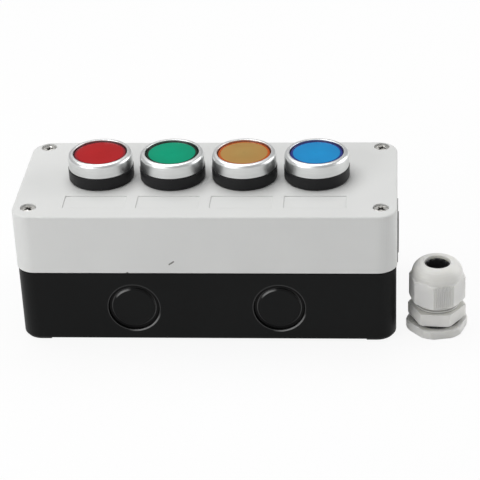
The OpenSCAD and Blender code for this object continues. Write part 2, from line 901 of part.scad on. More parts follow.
// Places a copy on the gland's axis
module at_gland() {
    translate([gland_x, gland_y, 0])
        children();
}

// Upright prism with a hexagonal outline and chamfered corners
module hexagon(across_flats, turn, low, high, chamfer, corner_d) {
    height = high - low;
    translate([0, 0, low])
        intersection() {
            rotate(turn)
                cylinder(d = across_flats / cos(30), h = height, $fn = 6);
            rotate_extrude()
                polygon([
                    [0, 0],
                    [corner_d / 2 - chamfer, 0],
                    [corner_d / 2, chamfer],
                    [corner_d / 2, height - chamfer],
                    [corner_d / 2 - chamfer, height],
                    [0, height]
                ]);
        }
}

// Body of the gland: a hexagon between two threads, with claws that close on the seal
module gland_body() {
    color(GREY)
    at_gland()
    difference() {
        union() {
            rotate_extrude()
                polygon(thread_profile(gland_thread_d / 2, thread_lift, hex_z - thread_lift, gland_pitch,
                    thread_depth));
            hexagon(gland_hex, gland_hex_turn, hex_z, thread_z, hex_chamfer, gland_hex / cos(30));
            rotate_extrude()
                polygon(thread_profile(upper_thread_d / 2, thread_z, upper_thread_length, gland_pitch,
                    thread_depth));
            translate([0, 0, body_top - overrun])
                difference() {
                    cylinder(d = claw_d, h = claw_length + overrun);
                    for (k = [0 : claw_count / 2 - 1])
                        rotate(180 * k / (claw_count / 2))
                            translate([-claw_d, -claw_slot / 2, overrun])
                                cube([2 * claw_d, claw_slot, claw_length + overrun]);
                }
        }
        translate([0, 0, thread_lift - overrun])
            cylinder(d = body_bore_d, h = claw_top);
        translate([0, 0, seal_floor])
            cylinder(d = seal_d + 2 * seal_fit, h = claw_top);
    }
}

// Half section of the outside of the cap nut, standing on z = 0
function cap_profile() =
    let (dome_z = cap_nut_height - dome_height,
         wall_z = dome_z - dome_wall_height,
         side_z = wall_z - shoulder_height,
         corner = cap_corner_r + overrun)
    concat(
        [[0, 0], [cap_corner_r - cap_chamfer, 0], [corner, cap_chamfer + overrun],
         [corner, side_z - overrun * shoulder_height / (corner - dome_foot_d / 2)],
         [dome_foot_d / 2, wall_z], [dome_d / 2, dome_z]],
        [for (i = [1 : dome_steps]) let (a = 90 * i / dome_steps)
            [dome_top_d / 2 + (dome_d - dome_top_d) / 2 * cos(a), dome_z + dome_height * sin(a)]],
        [[0, cap_nut_height]]);

// Eight-sided cap nut with a dome; grooves give grip on every second flat
module gland_cap_nut() {
    cone_z = cap_thread_room;
    shoulder_z = cap_nut_height - cap_shoulder;
    rib_pitch = (cap_side - 2 * rib_margin) / rib_count;
    color(GREY)
    at_gland()
    translate([0, 0, cap_z])
    difference() {
        intersection() {
            rotate(cap_nut_turn)
                cylinder(r = cap_corner_r, h = cap_nut_height, $fn = 8);
            rotate_extrude()
                polygon(cap_profile());
        }
        rotate_extrude()
            polygon([
                [0, -overrun],
                [cap_inner_d / 2, -overrun],
                [cap_inner_d / 2, cone_z],
                [cap_cone_d / 2, cone_z],
                [cap_cone_top_d / 2, shoulder_z],
                [cap_hole_d / 2, shoulder_z],
                [cap_hole_d / 2, cap_nut_height - cap_rim],
                [cap_hole_d / 2 + cap_rim, cap_nut_height],
                [cap_hole_d / 2 + cap_rim, cap_nut_height + overrun],
                [0, cap_nut_height + overrun]
            ]);
        for (side = [0 : 3], k = [0 : rib_count - 1])
            rotate(cap_nut_turn - 67.5 + 90 * side)
                translate([cap_flat_r - rib_depth, (k + 0.5 - rib_count / 2) * rib_pitch
                    - rib_pitch * rib_share / 2, cap_chamfer])
                    cube([rib_depth + overrun, rib_pitch * rib_share, cap_nut_height]);
    }
}

// Black rubber sleeve that closes on the cable, with a neck that shows in the cap nut's opening
module gland_seal() {
    color(RUBBER)
    at_gland()
    rotate_extrude()
        polygon([
            [cable_d / 2, seal_top - seal_length],
            [seal_d / 2, seal_top - seal_length],
            [seal_d / 2, seal_top],
            [seal_neck_r, seal_top],
            [seal_neck_r, cap_top - seal_neck_inset],
            [cable_d / 2, cap_top - seal_neck_inset]
        ]);
}

// Black rubber washer that lies on the locknut, under the body's hexagon
module gland_washer() {
    color(RUBBER)
    at_gland()
        ring(washer_d, gland_thread_d + 2 * thread_fit, locknut_height, locknut_height + washer_thickness);
}

// Locknut that the gland stands on, with two small pits in its top
module gland_locknut() {
    color(GREY)
    at_gland()
    difference() {
        hexagon(locknut_hex, locknut_turn, 0, locknut_height, locknut_chamfer, locknut_d);
        translate([0, 0, -overrun])
            cylinder(d = locknut_bore_d, h = locknut_height + 2 * overrun);
        for (a = dimple_turns)
            rotate(a)
                translate([dimple_r, 0, locknut_height - dimple_depth])
                    cylinder(d = dimple_d, h = dimple_depth + overrun);
    }
}

base();
cover();
cover_seal();
cover_screws();
ring_nuts();
terminal_screws();
for (i = [0 : 3]) {
    at_button(i) lens(i);
    at_button(i) diffuser();
    at_button(i) plunger();
    at_button(i) spring();
    at_button(i) head();
    at_button(i) bezel();
    at_button(i) gasket();
    at_button(i) contact_block();
    at_button(i) contact_slider();
    at_button(i) contact_bridge();
    at_button(i) terminals();
    at_button(i) lamp(i);
}
gland_body();
gland_cap_nut();
gland_seal();
gland_washer();
gland_locknut();
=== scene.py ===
"""A pushbutton control station: two-part enclosure, four illuminated buttons and a loose cable gland.

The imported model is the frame. This script gives every surface its finish and builds the fine pieces
that the solids leave plain: the moulded lenses, the turned bezels, the wound springs, the cross-head
cover screws and the lobed seal of the gland.
"""

from __future__ import annotations

import json
import logging
import math
from dataclasses import dataclass
from enum import Enum
from typing import Any, Iterable

import bmesh
import bpy
from mathutils import Matrix, Vector

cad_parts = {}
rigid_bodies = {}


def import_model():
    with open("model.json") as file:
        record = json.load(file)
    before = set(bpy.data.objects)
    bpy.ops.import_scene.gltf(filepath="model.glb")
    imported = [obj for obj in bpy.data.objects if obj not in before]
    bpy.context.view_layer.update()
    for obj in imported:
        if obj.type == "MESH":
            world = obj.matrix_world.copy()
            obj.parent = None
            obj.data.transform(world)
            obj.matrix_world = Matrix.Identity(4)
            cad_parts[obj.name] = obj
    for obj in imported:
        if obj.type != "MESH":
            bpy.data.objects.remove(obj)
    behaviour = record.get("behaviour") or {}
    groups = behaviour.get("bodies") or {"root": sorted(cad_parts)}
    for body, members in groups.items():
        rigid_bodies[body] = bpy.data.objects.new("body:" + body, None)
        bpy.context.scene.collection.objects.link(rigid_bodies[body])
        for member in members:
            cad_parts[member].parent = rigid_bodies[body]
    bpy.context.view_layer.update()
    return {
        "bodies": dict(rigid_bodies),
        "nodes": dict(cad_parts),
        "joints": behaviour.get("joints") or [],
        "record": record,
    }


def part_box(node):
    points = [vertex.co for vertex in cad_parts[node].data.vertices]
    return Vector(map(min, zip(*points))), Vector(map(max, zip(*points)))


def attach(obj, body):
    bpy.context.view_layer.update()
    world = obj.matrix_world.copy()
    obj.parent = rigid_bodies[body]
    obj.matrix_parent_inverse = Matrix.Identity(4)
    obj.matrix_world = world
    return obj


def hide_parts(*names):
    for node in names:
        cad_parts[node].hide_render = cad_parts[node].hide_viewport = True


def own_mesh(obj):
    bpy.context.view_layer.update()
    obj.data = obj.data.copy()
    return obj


LOG = logging.getLogger("control_station")
MM = 0.001
PLASTIC_IOR = 1.47
ACRYLIC_IOR = 1.49
BEVEL_SAMPLES = 6
POLE_R = 1e-7
WHITE = (1.0, 1.0, 1.0)

Colour = tuple[float, float, float]
Point = tuple[float, float, float]
Outline = list[tuple[float, float]]
Sockets = dict[str | int, Any]
Piece = bpy.types.Object


class ButtonColour(Enum):
    """The four buttons, from left to right."""

    RED = "red"
    GREEN = "green"
    AMBER = "amber"
    BLUE = "blue"


class Body(Enum):
    """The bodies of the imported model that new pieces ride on, beside those of the buttons."""

    STATION = "station"
    SEAL = "gland_seal"


# Shader expressions


class Term:
    """A socket in a node tree, on which ordinary arithmetic adds Math nodes."""

    def __init__(self, graph: Graph, socket: Any) -> None:
        """Wraps one output socket."""
        self.graph = graph
        self.socket = socket

    def __add__(self, other: Term | float) -> Term:
        """Sum."""
        return self.graph.math("ADD", self, other)

    __radd__ = __add__

    def __sub__(self, other: Term | float) -> Term:
        """Difference."""
        return self.graph.math("SUBTRACT", self, other)

    def __rsub__(self, other: float) -> Term:
        """Difference from a number."""
        return self.graph.math("SUBTRACT", other, self)

    def __mul__(self, other: Term | float) -> Term:
        """Product."""
        return self.graph.math("MULTIPLY", self, other)

    def __truediv__(self, other: Term | float) -> Term:
        """Quotient."""
        return self.graph.math("DIVIDE", self, other)

    def hypot(self, other: Term) -> Term:
        """Length of the vector that two values make."""
        return self.graph.math("SQRT", self * self + other * other)

    def angle(self, other: Term) -> Term:
        """Angle of the vector (self, other), in radians."""
        return self.graph.math("ARCTAN2", other, self)

    def sine(self) -> Term:
        """Sine."""
        return self.graph.math("SINE", self)

    def absolute(self) -> Term:
        """Size without its sign."""
        return self.graph.math("ABSOLUTE", self)

    def clamped(self) -> Term:
        """Value held between 0 and 1."""
        return self.graph.math("ADD", self, 0.0, clamp=True)

    def between(self, low: float, high: float) -> Term:
        """Smooth step from 0 at low to 1 at high."""
        return self.graph.smooth(self, low, high)


class Graph:
    """A node tree, written as expressions."""

    def __init__(self, owner: Any, output: str = "ShaderNodeOutputMaterial") -> None:
        """Empties the tree and gives it one output.

        Args:
            owner: A new material, world or geometry tree.
            output: Type of the output node.
        """
        self.owner = owner
        if isinstance(owner, bpy.types.NodeTree):
            self.tree = owner
        else:
            owner.use_nodes = True
            self.tree = owner.node_tree
        self.tree.nodes.clear()
        self.out = self.node(output)

    def node(self, kind: str, settings: dict[str, Any] | None = None,
             sockets: Sockets | None = None) -> Any:
        """Adds a node of any kind.

        Args:
            kind: The node's type.
            settings: Its properties, which are set first.
            sockets: Values, terms or sockets for its inputs, by name or index.

        Returns:
            The new node.
        """
        made = self.tree.nodes.new(kind)
        for key, value in (settings or {}).items():
            setattr(made, key, value)
        for key, value in (sockets or {}).items():
            socket = made.inputs[key]
            if isinstance(value, Term):
                self.tree.links.new(value.socket, socket)
            elif isinstance(value, bpy.types.NodeSocket):
                self.tree.links.new(value, socket)
            elif isinstance(value, tuple) and socket.type == "RGBA" and len(value) == 3:
                socket.default_value = (*value, 1.0)
            else:
                socket.default_value = value
        return made

    def term(self, node: Any, output: str | int = 0) -> Term:
        """Wraps a node's output."""
        return Term(self, node.outputs[output])

    def math(self, operation: str, *values: Term | float, clamp: bool = False) -> Term:
        """Adds a Math node.

        Args:
            operation: The node's operation.
            values: One to three values or terms.
            clamp: Whether the result is held between 0 and 1.

        Returns:
            The result.
        """
        settings = {"operation": operation, "use_clamp": clamp}
        return self.term(self.node("ShaderNodeMath", settings, dict(enumerate(values))))

    def smooth(self, value: Term, low: float, high: float) -> Term:
        """Smooth step of a value between two limits."""
        limits = {"Value": value, "From Min": low, "From Max": high, "To Min": 0.0, "To Max": 1.0}
        return self.term(self.node("ShaderNodeMapRange", {"interpolation_type": "SMOOTHSTEP"}, limits))

    def mix(self, factor: Term | float, first: Any, second: Any) -> Term:
        """Mixes two colours.

        Args:
            factor: Share of the second colour.
            first: Colour or term at factor 0.
            second: Colour or term at factor 1.

        Returns:
            The mixed colour.
        """
        made = self.node("ShaderNodeMix", {"data_type": "RGBA"}, {0: factor, 6: first, 7: second})
        return self.term(made, 2)

    def place(self, centre: Point = (0.0, 0.0, 0.0)) -> Term:
        """Object coordinates measured from a centre, in metres."""
        placed = {"Vector": self.node("ShaderNodeTexCoord").outputs["Object"],
                  "Location": tuple(-value for value in centre)}
        return self.term(self.node("ShaderNodeMapping", {}, placed))

    def axes(self, vector: Term) -> tuple[Term, Term, Term]:
        """The three parts of a vector."""
        made = self.node("ShaderNodeSeparateXYZ", {}, {"Vector": vector})
        return self.term(made, 0), self.term(made, 1), self.term(made, 2)

    def vector(self, x: Term, y: Term, z: Term) -> Term:
        """A vector of three parts."""
        return self.term(self.node("ShaderNodeCombineXYZ", {}, {"X": x, "Y": y, "Z": z}))

    def round_axis(self, foot: Point) -> tuple[Term, Term, Term]:
        """Distance from an upright axis, height above its foot and angle round it."""
        x, y, z = self.axes(self.place(foot))
        return x.hypot(y), z, x.angle(y)

    def noise(self, vector: Term, scale: float, detail: float = 3.0, roughness: float = 0.55) -> Term:
        """Fractal noise between 0 and 1."""
        sockets = {"Vector": vector, "Scale": scale, "Detail": detail, "Roughness": roughness}
        return self.term(self.node("ShaderNodeTexNoise", {}, sockets), "Fac")

    def bump(self, height: Term, distance: float, strength: float = 1.0, edge: float = 0.0) -> Any:
        """Bump normal from a height.

        Args:
            height: Height between 0 and 1.
            distance: Depth in metres that height 1 stands for.
            strength: Share of the effect.
            edge: Radius of the softened edges under the bump, in metres; 0 for none.

        Returns:
            The normal's socket.
        """
        sockets: Sockets = {"Height": height, "Distance": distance, "Strength": strength}
        if edge > 0:
            bevel = self.node("ShaderNodeBevel", {"samples": BEVEL_SAMPLES}, {"Radius": edge})
            sockets["Normal"] = bevel.outputs["Normal"]
        return self.node("ShaderNodeBump", {}, sockets).outputs["Normal"]

    def shows_background(self) -> Term:
        """Tells the rays that show the background: the camera's, and those off metal or through glass.

        Returns:
            1 for those rays and 0 for the light that falls on a surface.
        """
        path = self.node("ShaderNodeLightPath")
        seen = self.math("MAXIMUM", self.term(path, "Is Camera Ray"), self.term(path, "Is Glossy Ray"))
        return self.math("MAXIMUM", seen, self.term(path, "Is Transmission Ray"))

    def close(self, last: Any) -> None:
        """Joins the last node to the tree's output."""
        self.tree.links.new(last.outputs[0], self.out.inputs[0])

    def close_mixed(self, share: Term, first: Any, second: Any) -> None:
        """Joins two shaders to the tree's output, the second one by its share."""
        mixed = {0: share, 1: first.outputs[0], 2: second.outputs[0]}
        self.close(self.node("ShaderNodeMixShader", {}, mixed))

    def finish(self, sockets: Sockets) -> bpy.types.Material:
        """Closes a material with a Principled shader.

        Args:
            sockets: The shader's inputs.

        Returns:
            The material.
        """
        self.close(self.node("ShaderNodeBsdfPrincipled", {}, sockets))
        return self.owner


def new_material(name: str) -> Graph:
    """Starts the graph of a new material."""
    return Graph(bpy.data.materials.new(name))


def shaded(colour: Colour, share: float) -> Colour:
    """A colour at a share of its level, held at 1."""
    return tuple(min(1.0, part * share) for part in colour)


# Marks on the moulded surfaces


@dataclass(frozen=True)
class Mark:
    """A place on a moulded surface with a colour or a skin of its own, or with painted shade or highlight.
    """

    colour: Colour
    strength: float = 0.85

    def mask(self, graph: Graph) -> Term:
        """Share of the mark at each point, before its strength."""
        raise NotImplementedError

    def polish(self, graph: Graph) -> Term | None:
        """Weight of a smooth skin at each point, or none."""
        return None

    def matt(self, graph: Graph) -> Term | None:
        """Roughness added at each point, or none."""
        return None


@dataclass(frozen=True)
class TongueShade(Mark):
    """Painted shade on the end tongues' outer skin, which is also duller."""

    strength: float = 1.0
    start_x: float = 83.2 * MM
    start_z: float = 34.0 * MM
    dullness: float = 0.6

    def mask(self, graph: Graph) -> Term:
        """Share of the painted shade at each point.

        Args:
            graph: The material's graph.

        Returns:
            The share.
        """
        x, _, z = graph.axes(graph.place())
        outside = x.absolute().between(self.start_x - 0.1 * MM, self.start_x)
        return outside * z.between(self.start_z, self.start_z + MM)

    def matt(self, graph: Graph) -> Term:
        """Roughness added at each point."""
        return self.mask(graph) * self.dullness


@dataclass(frozen=True)
class DarkMark(Mark):
    """A short dark mark on a face that looks along Y."""

    centre: Point = (0.0, 0.0, 0.0)
    length: float = 3.4 * MM
    width: float = 0.8 * MM
    slope: float = 0.6
    skin: float = 1.0 * MM
    fray: float = 1600.0

    def mask(self, graph: Graph) -> Term:
        """Share of the mark at each point of its own face, which is 1 in its middle.

        Args:
            graph: The material's graph.

        Returns:
            The share.
        """
        x, y, z = graph.axes(graph.place(self.centre))
        cos, sin = math.cos(self.slope), math.sin(self.slope)
        along = (x * cos + z * sin).absolute()
        across = (z * cos - x * sin).absolute()
        ragged = (graph.noise(graph.place(), self.fray, 2.0) - 0.5) * (self.width * 0.6)
        inside = 1 - (across + ragged).between(self.width * 0.3, self.width * 0.55)
        at_face = 1 - y.absolute().between(self.skin, 2 * self.skin)
        return inside * (1 - along.between(self.length * 0.35, self.length * 0.5)) * at_face


@dataclass(frozen=True)
class KnockOutMark(Mark):
    """A mark round the knock-outs, which lie mirrored on the four upright faces of the base."""

    side_x: float = 32.0 * MM
    side_z: float = 16.7 * MM
    end_z: float = 35.0 * MM
    inner_r: float = 9.4 * MM
    outer_r: float = 11.5 * MM
    soft: float = 0.12 * MM

    def band(self, radius: Term, low: float, high: float) -> Term:
        """Share of a ring between two radii."""
        inside = radius.between(low - self.soft, low + self.soft)
        return inside * (1 - radius.between(high - self.soft, high + self.soft))


@dataclass(frozen=True)
class GrooveShade(KnockOutMark):
    """Painted shade in the grooves round the knock-outs, whose edges are smooth."""

    end_face: float = 80.0 * MM
    edge_width: float = 0.45 * MM

    def radii(self, graph: Graph) -> tuple[Term, Term, Term]:
        """Distances from a side's and an end's knock-out, and the share of the ends.

        Args:
            graph: The material's graph.

        Returns:
            The two distances, and 1 on the end faces.
        """
        x, y, z = graph.axes(graph.place())
        side = (x.absolute() - self.side_x).hypot(z - self.side_z)
        end = y.hypot(z - self.end_z)
        return side, end, x.absolute().between(self.end_face, self.end_face + MM)

    def mask(self, graph: Graph) -> Term:
        """Share of the painted shade at each point.

        Args:
            graph: The material's graph.

        Returns:
            The share.
        """
        side, end, at_end = self.radii(graph)
        sides = self.band(side, self.inner_r, self.outer_r) * (1 - at_end)
        return graph.math("MAXIMUM", sides, self.band(end, self.inner_r, self.outer_r) * at_end)

    def polish(self, graph: Graph) -> Term:
        """Share of the smooth edges of the groove.

        Args:
            graph: The material's graph.

        Returns:
            The share.
        """
        side, end, at_end = self.radii(graph)
        inner_end, outer_start = self.inner_r + self.edge_width, self.outer_r - self.edge_width
        edges = [graph.math("MAXIMUM", self.band(radius, self.inner_r - 0.1 * MM, inner_end),
                            self.band(radius, outer_start, self.outer_r + 0.2 * MM))
                 for radius in (side, end)]
        return graph.math("MAXIMUM", edges[0] * (1 - at_end), edges[1] * at_end)


@dataclass(frozen=True)
class RimHighlight(KnockOutMark):
    """Painted highlight arcs at the long sides' knock-outs, where the rims face the light from the upper
    left: low on the right outside and high on the left inside.
    """

    strength: float = 0.9
    lean: float = math.radians(-59)
    rim: float = 0.6 * MM
    low_reach: tuple[float, float] = (0.65, 0.98)
    high_reach: tuple[float, float] = (0.88, 1.0)

    def mask(self, graph: Graph) -> Term:
        """Share of the painted highlight at each point.

        Args:
            graph: The material's graph.

        Returns:
            The share.
        """
        x, _, z = graph.axes(graph.place())
        outward, above = x.absolute() - self.side_x, z - self.side_z
        radius = outward.hypot(above)
        rightward = outward * (x.between(-MM, MM) * 2 - 1)
        facing = (rightward * math.cos(self.lean) + above * math.sin(self.lean)) / radius
        low = self.band(radius, self.outer_r - 0.1 * MM, self.outer_r + self.rim)
        high = self.band(radius, self.inner_r - self.rim, self.inner_r)
        return graph.math("MAXIMUM", low * facing.between(*self.low_reach),
                          high * (0 - facing).between(*self.high_reach))


@dataclass(frozen=True)
class ThreadShade(Mark):
    """Shade in the grooves of an upright thread."""

    strength: float = 0.8
    foot: Point = (0.0, 0.0, 0.0)
    crest_r: float = 10.0 * MM
    depth: float = 0.6 * MM
    length: float = 8.5 * MM

    def mask(self, graph: Graph) -> Term:
        """Share of the shade at each point, which is 1 at the bottom of a groove.

        Args:
            graph: The material's graph.

        Returns:
            The share.
        """
        x, y, z = graph.axes(graph.place(self.foot))
        radius = x.hypot(y)
        groove = 1 - radius.between(self.crest_r - self.depth * 0.9, self.crest_r - self.depth * 0.2)
        outside = radius.between(self.crest_r - self.depth * 1.5, self.crest_r - self.depth * 1.3)
        above = z.between(0.0, 0.1 * MM)
        return groove * outside * above * (1 - z.between(self.length, self.length + MM))


# Finishes


@dataclass(frozen=True)
class MouldedPlastic:
    """Moulded plastic with a fine spark-eroded grain, faint flow marks and softened edges."""

    name: str
    colour: Colour
    roughness: float = 0.5
    grain: float = 900.0
    grain_depth: float = 0.03 * MM
    flow: float = 22.0
    mottle: float = 0.03
    edge: float = 0.25 * MM
    coat: float = 0.0
    coat_roughness: float = 0.2
    gloss: float = 0.5
    dust: Colour | None = None
    dust_scale: float = 420.0
    light_share: float = 0.6
    light_tint: Colour = (1.0, 1.0, 0.9)
    light_depth: float = 0.0

    def build(self, *marks: Mark) -> bpy.types.Material:
        """Makes the material.

        Args:
            marks: Marks on the surface, the last one on top.

        Returns:
            The material.
        """
        graph = new_material(self.name)
        place = graph.place()
        cloud = graph.noise(place, self.flow, 3.0)
        fine = graph.noise(place, self.grain, 2.0, 0.7)
        colour = graph.mix(cloud.between(0.35, 0.65), shaded(self.colour, 1 - self.mottle),
                           shaded(self.colour, 1 + self.mottle))
        if self.dust is not None:
            specks = graph.noise(place, self.dust_scale, 4.0, 0.75).between(0.71, 0.78)
            colour = graph.mix(specks * 0.5, colour, self.dust)
        rough = self.roughness + (fine - 0.5) * 0.16 + (cloud - 0.5) * 0.1
        coat: Term | float = self.coat
        for mark in marks:
            colour = graph.mix(mark.mask(graph) * mark.strength, colour, mark.colour)
            polish, matt = mark.polish(graph), mark.matt(graph)
            coat = coat if polish is None else polish
            rough = rough if matt is None else rough + matt
        sockets: Sockets = {
            "Base Color": colour, "Roughness": rough.clamped(), "IOR": PLASTIC_IOR,
            "Specular IOR Level": self.gloss, "Coat Weight": coat, "Coat Roughness": self.coat_roughness,
            "Normal": graph.bump(fine, self.grain_depth, 1.0, self.edge)}
        if self.light_depth > 0:
            sockets.update({"Subsurface Weight": self.light_share, "Subsurface Radius": self.light_tint,
                            "Subsurface Scale": self.light_depth})
        return graph.finish(sockets)


@dataclass(frozen=True)
class CollarPlastic:
    """Black collar with faint turned lines and fine ribs round its axis."""

    name: str
    axis: Point
    colour: Colour = (0.012, 0.012, 0.013)
    dust: Colour = (0.05, 0.05, 0.05)
    roughness: float = 0.42
    gloss: float = 0.22
    lines: float = 2500.0
    ribs: float = 180.0
    rib_depth: float = 0.06 * MM
    edge: float = 0.3 * MM

    def build(self) -> bpy.types.Material:
        """Makes the material.

        Returns:
            The material.
        """
        graph = new_material(self.name)
        radius, height, turn = graph.round_axis(self.axis)
        lines = graph.noise(graph.vector(radius * self.lines, height * self.lines, turn * 1.2), 1.0, 2.0)
        specks = graph.noise(graph.place(), 500.0, 4.0, 0.7).between(0.68, 0.76)
        ribs = (turn * self.ribs).sine() * 0.5 + 0.5
        return graph.finish({"Base Color": graph.mix(specks * 0.4, self.colour, self.dust),
                             "Roughness": (self.roughness + (lines - 0.5) * 0.25).clamped(),
                             "IOR": PLASTIC_IOR, "Specular IOR Level": self.gloss,
                             "Normal": graph.bump(ribs + lines * 0.4, self.rib_depth, 0.5, self.edge)})


@dataclass(frozen=True)
class TurnedMetal:
    """Metal turned on a lathe: fine rings round an upright axis, with satin streaks along them."""

    name: str
    colour: Colour
    axis: Point
    roughness: float = 0.34
    rings: float = 6000.0
    streaks: float = 900.0
    depth: float = 0.0015 * MM

    def build(self) -> bpy.types.Material:
        """Makes the material.

        Returns:
            The material.
        """
        graph = new_material(self.name)
        radius, height, turn = graph.round_axis(self.axis)
        fine = graph.vector(radius * self.rings, height * self.rings, turn * 2.0)
        lines = graph.noise(fine, 1.0, 3.0, 0.6)
        broad = graph.vector(radius * self.streaks, height * self.streaks, turn * 1.3)
        streak = graph.noise(broad, 1.0, 2.0)
        tint = graph.mix(streak.between(0.3, 0.7), shaded(self.colour, 0.93), self.colour)
        rough = self.roughness + (lines - 0.5) * 0.16 + (streak - 0.5) * 0.08
        return graph.finish({"Base Color": tint, "Metallic": 1.0, "Roughness": rough.clamped(),
                             "Normal": graph.bump(lines, self.depth, 0.8)})


@dataclass(frozen=True)
class PlatedSteel:
    """Zinc-plated steel with crystalline mottling, and painted shade in its hollows."""

    name: str
    colour: Colour = (0.62, 0.61, 0.58)
    hollow_shade: Colour = (0.16, 0.155, 0.15)
    roughness: float = 0.3
    scale: float = 700.0
    edge: float = 0.1 * MM
    shade_below: float | None = None

    def build(self) -> bpy.types.Material:
        """Makes the material, with painted shade under the height where the hollows begin.

        Returns:
            The material.
        """
        graph = new_material(self.name)
        place = graph.place()
        blotch = graph.noise(place, self.scale, 4.0, 0.65)
        fine = graph.noise(place, self.scale * 4, 2.0)
        tint = graph.mix(blotch.between(0.3, 0.7), shaded(self.colour, 0.72), self.colour)
        # Painted shade in the hollows, below a given height
        if self.shade_below is not None:
            _, _, height = graph.axes(place)
            in_shade = 1 - height.between(self.shade_below - 0.35 * MM, self.shade_below)
            tint = graph.mix(in_shade * 0.9, tint, self.hollow_shade)
        return graph.finish({"Base Color": tint, "Metallic": 1.0,
                             "Roughness": (self.roughness + (blotch - 0.5) * 0.3).clamped(),
                             "Normal": graph.bump(fine, 0.02 * MM, 0.6, self.edge)})


@dataclass(frozen=True)
class Brass:
    """Stamped brass with faint tarnish."""

    name: str
    colour: Colour = (0.72, 0.52, 0.24)
    tarnished: Colour = (0.4, 0.26, 0.12)

    def build(self) -> bpy.types.Material:
        """Makes the material.

        Returns:
            The material.
        """
        graph = new_material(self.name)
        tarnish = graph.noise(graph.place(), 300.0, 4.0)
        tint = graph.mix(tarnish.between(0.4, 0.75), self.colour, self.tarnished)
        return graph.finish({"Base Color": tint, "Metallic": 1.0,
                             "Roughness": (0.3 + tarnish * 0.2).clamped(),
                             "Normal": graph.bump(graph.noise(graph.place(), 2500.0), 0.01 * MM, 0.5)})


@dataclass(frozen=True)
class Rubber:
    """Matt black rubber with a faint bloom."""

    name: str
    colour: Colour = (0.012, 0.012, 0.013)
    bloom: Colour = (0.05, 0.05, 0.05)

    def build(self) -> bpy.types.Material:
        """Makes the material.

        Returns:
            The material.
        """
        graph = new_material(self.name)
        place = graph.place()
        haze = graph.noise(place, 160.0, 4.0, 0.6)
        fine = graph.noise(place, 2400.0, 2.0)
        tint = graph.mix(haze.between(0.45, 0.8) * 0.5, self.colour, self.bloom)
        return graph.finish({"Base Color": tint, "Roughness": (0.62 + (haze - 0.5) * 0.25).clamped(),
                             "Normal": graph.bump(fine, 0.02 * MM, 0.7)})


@dataclass(frozen=True)
class TintedLens:
    """Translucent coloured lens: a pale disc of light in the middle and a deep ring at the edge."""

    name: str
    disc: Colour
    rim: Colour
    edge: Colour
    axis: Point
    disc_r: float
    rim_r: float
    gate: tuple[float, float] = (0.3 * MM, 1.2 * MM)
    gloss: float = 0.04

    def build(self) -> bpy.types.Material:
        """Makes the material, with the moulding's gate as a faint dot in the middle.

        Returns:
            The material.
        """
        graph = new_material(self.name)
        x, y, _ = graph.axes(graph.place(self.axis))
        radius = x.hypot(y)
        wave = graph.noise(graph.place(), 70.0, 2.0)
        fine = graph.noise(graph.place(), 1500.0, 2.0)
        soft = self.disc_r * 0.028
        inner = graph.mix(wave.between(0.3, 0.7) * 0.5, self.disc, shaded(self.disc, 0.82))
        inner = graph.mix((1 - radius.between(*self.gate)) * 0.15, inner, shaded(self.disc, 0.6))
        inner = graph.mix(radius.between(0.0, self.disc_r) * 0.12, inner, self.rim)
        ring_share = radius.between(self.disc_r - soft, self.disc_r + soft * 0.5)
        edge_share = radius.between(self.rim_r - soft, self.rim_r + soft)
        colour = graph.mix(edge_share, graph.mix(ring_share, inner, self.rim), self.edge)
        return graph.finish({"Base Color": colour, "Roughness": (0.3 + (fine - 0.5) * 0.08).clamped(),
                             "IOR": ACRYLIC_IOR, "Specular IOR Level": self.gloss,
                             "Normal": graph.bump(wave, 0.03 * MM, 0.5)})


def dress(piece: Piece, material: bpy.types.Material) -> None:
    """Gives a piece one material.

    Args:
        piece: A piece with or without material slots.
        material: The material of all its faces.
    """
    slots = piece.data.materials
    if not len(slots):
        slots.append(material)
    for index in range(len(slots)):
        slots[index] = material


# Mesh helpers


def arc(centre: tuple[float, float], radius: float, start: float, end: float, steps: int) -> Outline:
    """Points on an arc, with angles in degrees."""
    turns = [math.radians(start + (end - start) * step / steps) for step in range(steps + 1)]
    return [(centre[0] + radius * math.cos(turn), centre[1] + radius * math.sin(turn)) for turn in turns]


def ring(bm: bmesh.types.BMesh, centre: Point, radii: list[float]) -> list[Any]:
    """Adds a level ring of vertices, one for each radius, anticlockwise from the X axis."""
    turns = [math.tau * step / len(radii) for step in range(len(radii))]
    return [bm.verts.new((centre[0] + radius * math.cos(turn), centre[1] + radius * math.sin(turn),
                          centre[2])) for radius, turn in zip(radii, turns)]


def skin(bm: bmesh.types.BMesh, rings: list[list[Any]], closed: bool) -> None:
    """Lays faces from each ring of vertices to the next.

    Args:
        bm: The mesh.
        rings: Rings with equal counts, or a single vertex for a pole.
        closed: Whether the last ring is joined to the first.
    """
    count = len(rings)
    for index in range(count if closed else count - 1):
        low, high = rings[index], rings[(index + 1) % count]
        steps = max(len(low), len(high))
        for step in range(steps if steps > 1 else 0):
            after = (step + 1) % steps
            if len(low) == 1:
                bm.faces.new((low[0], high[after], high[step]))
            elif len(high) == 1:
                bm.faces.new((low[step], low[after], high[0]))
            else:
                bm.faces.new((low[step], low[after], high[after], high[step]))


def from_bmesh(name: str, bm: bmesh.types.BMesh, smooth_angle: float = 32.0) -> Piece:
    """Makes an object of a bmesh, turns its faces outwards and shades it smooth up to an angle.

    Args:
        name: The object's name.
        bm: The mesh, which is freed.
        smooth_angle: Faces that meet at a larger angle, in degrees, keep a sharp edge.

    Returns:
        The new object.
    """
    bmesh.ops.recalc_face_normals(bm, faces=bm.faces)
    mesh = bpy.data.meshes.new(name)
    bm.to_mesh(mesh)
    bm.free()
    mesh.shade_smooth()
    mesh.set_sharp_from_angle(angle=math.radians(smooth_angle))
    return add_object(name, mesh)


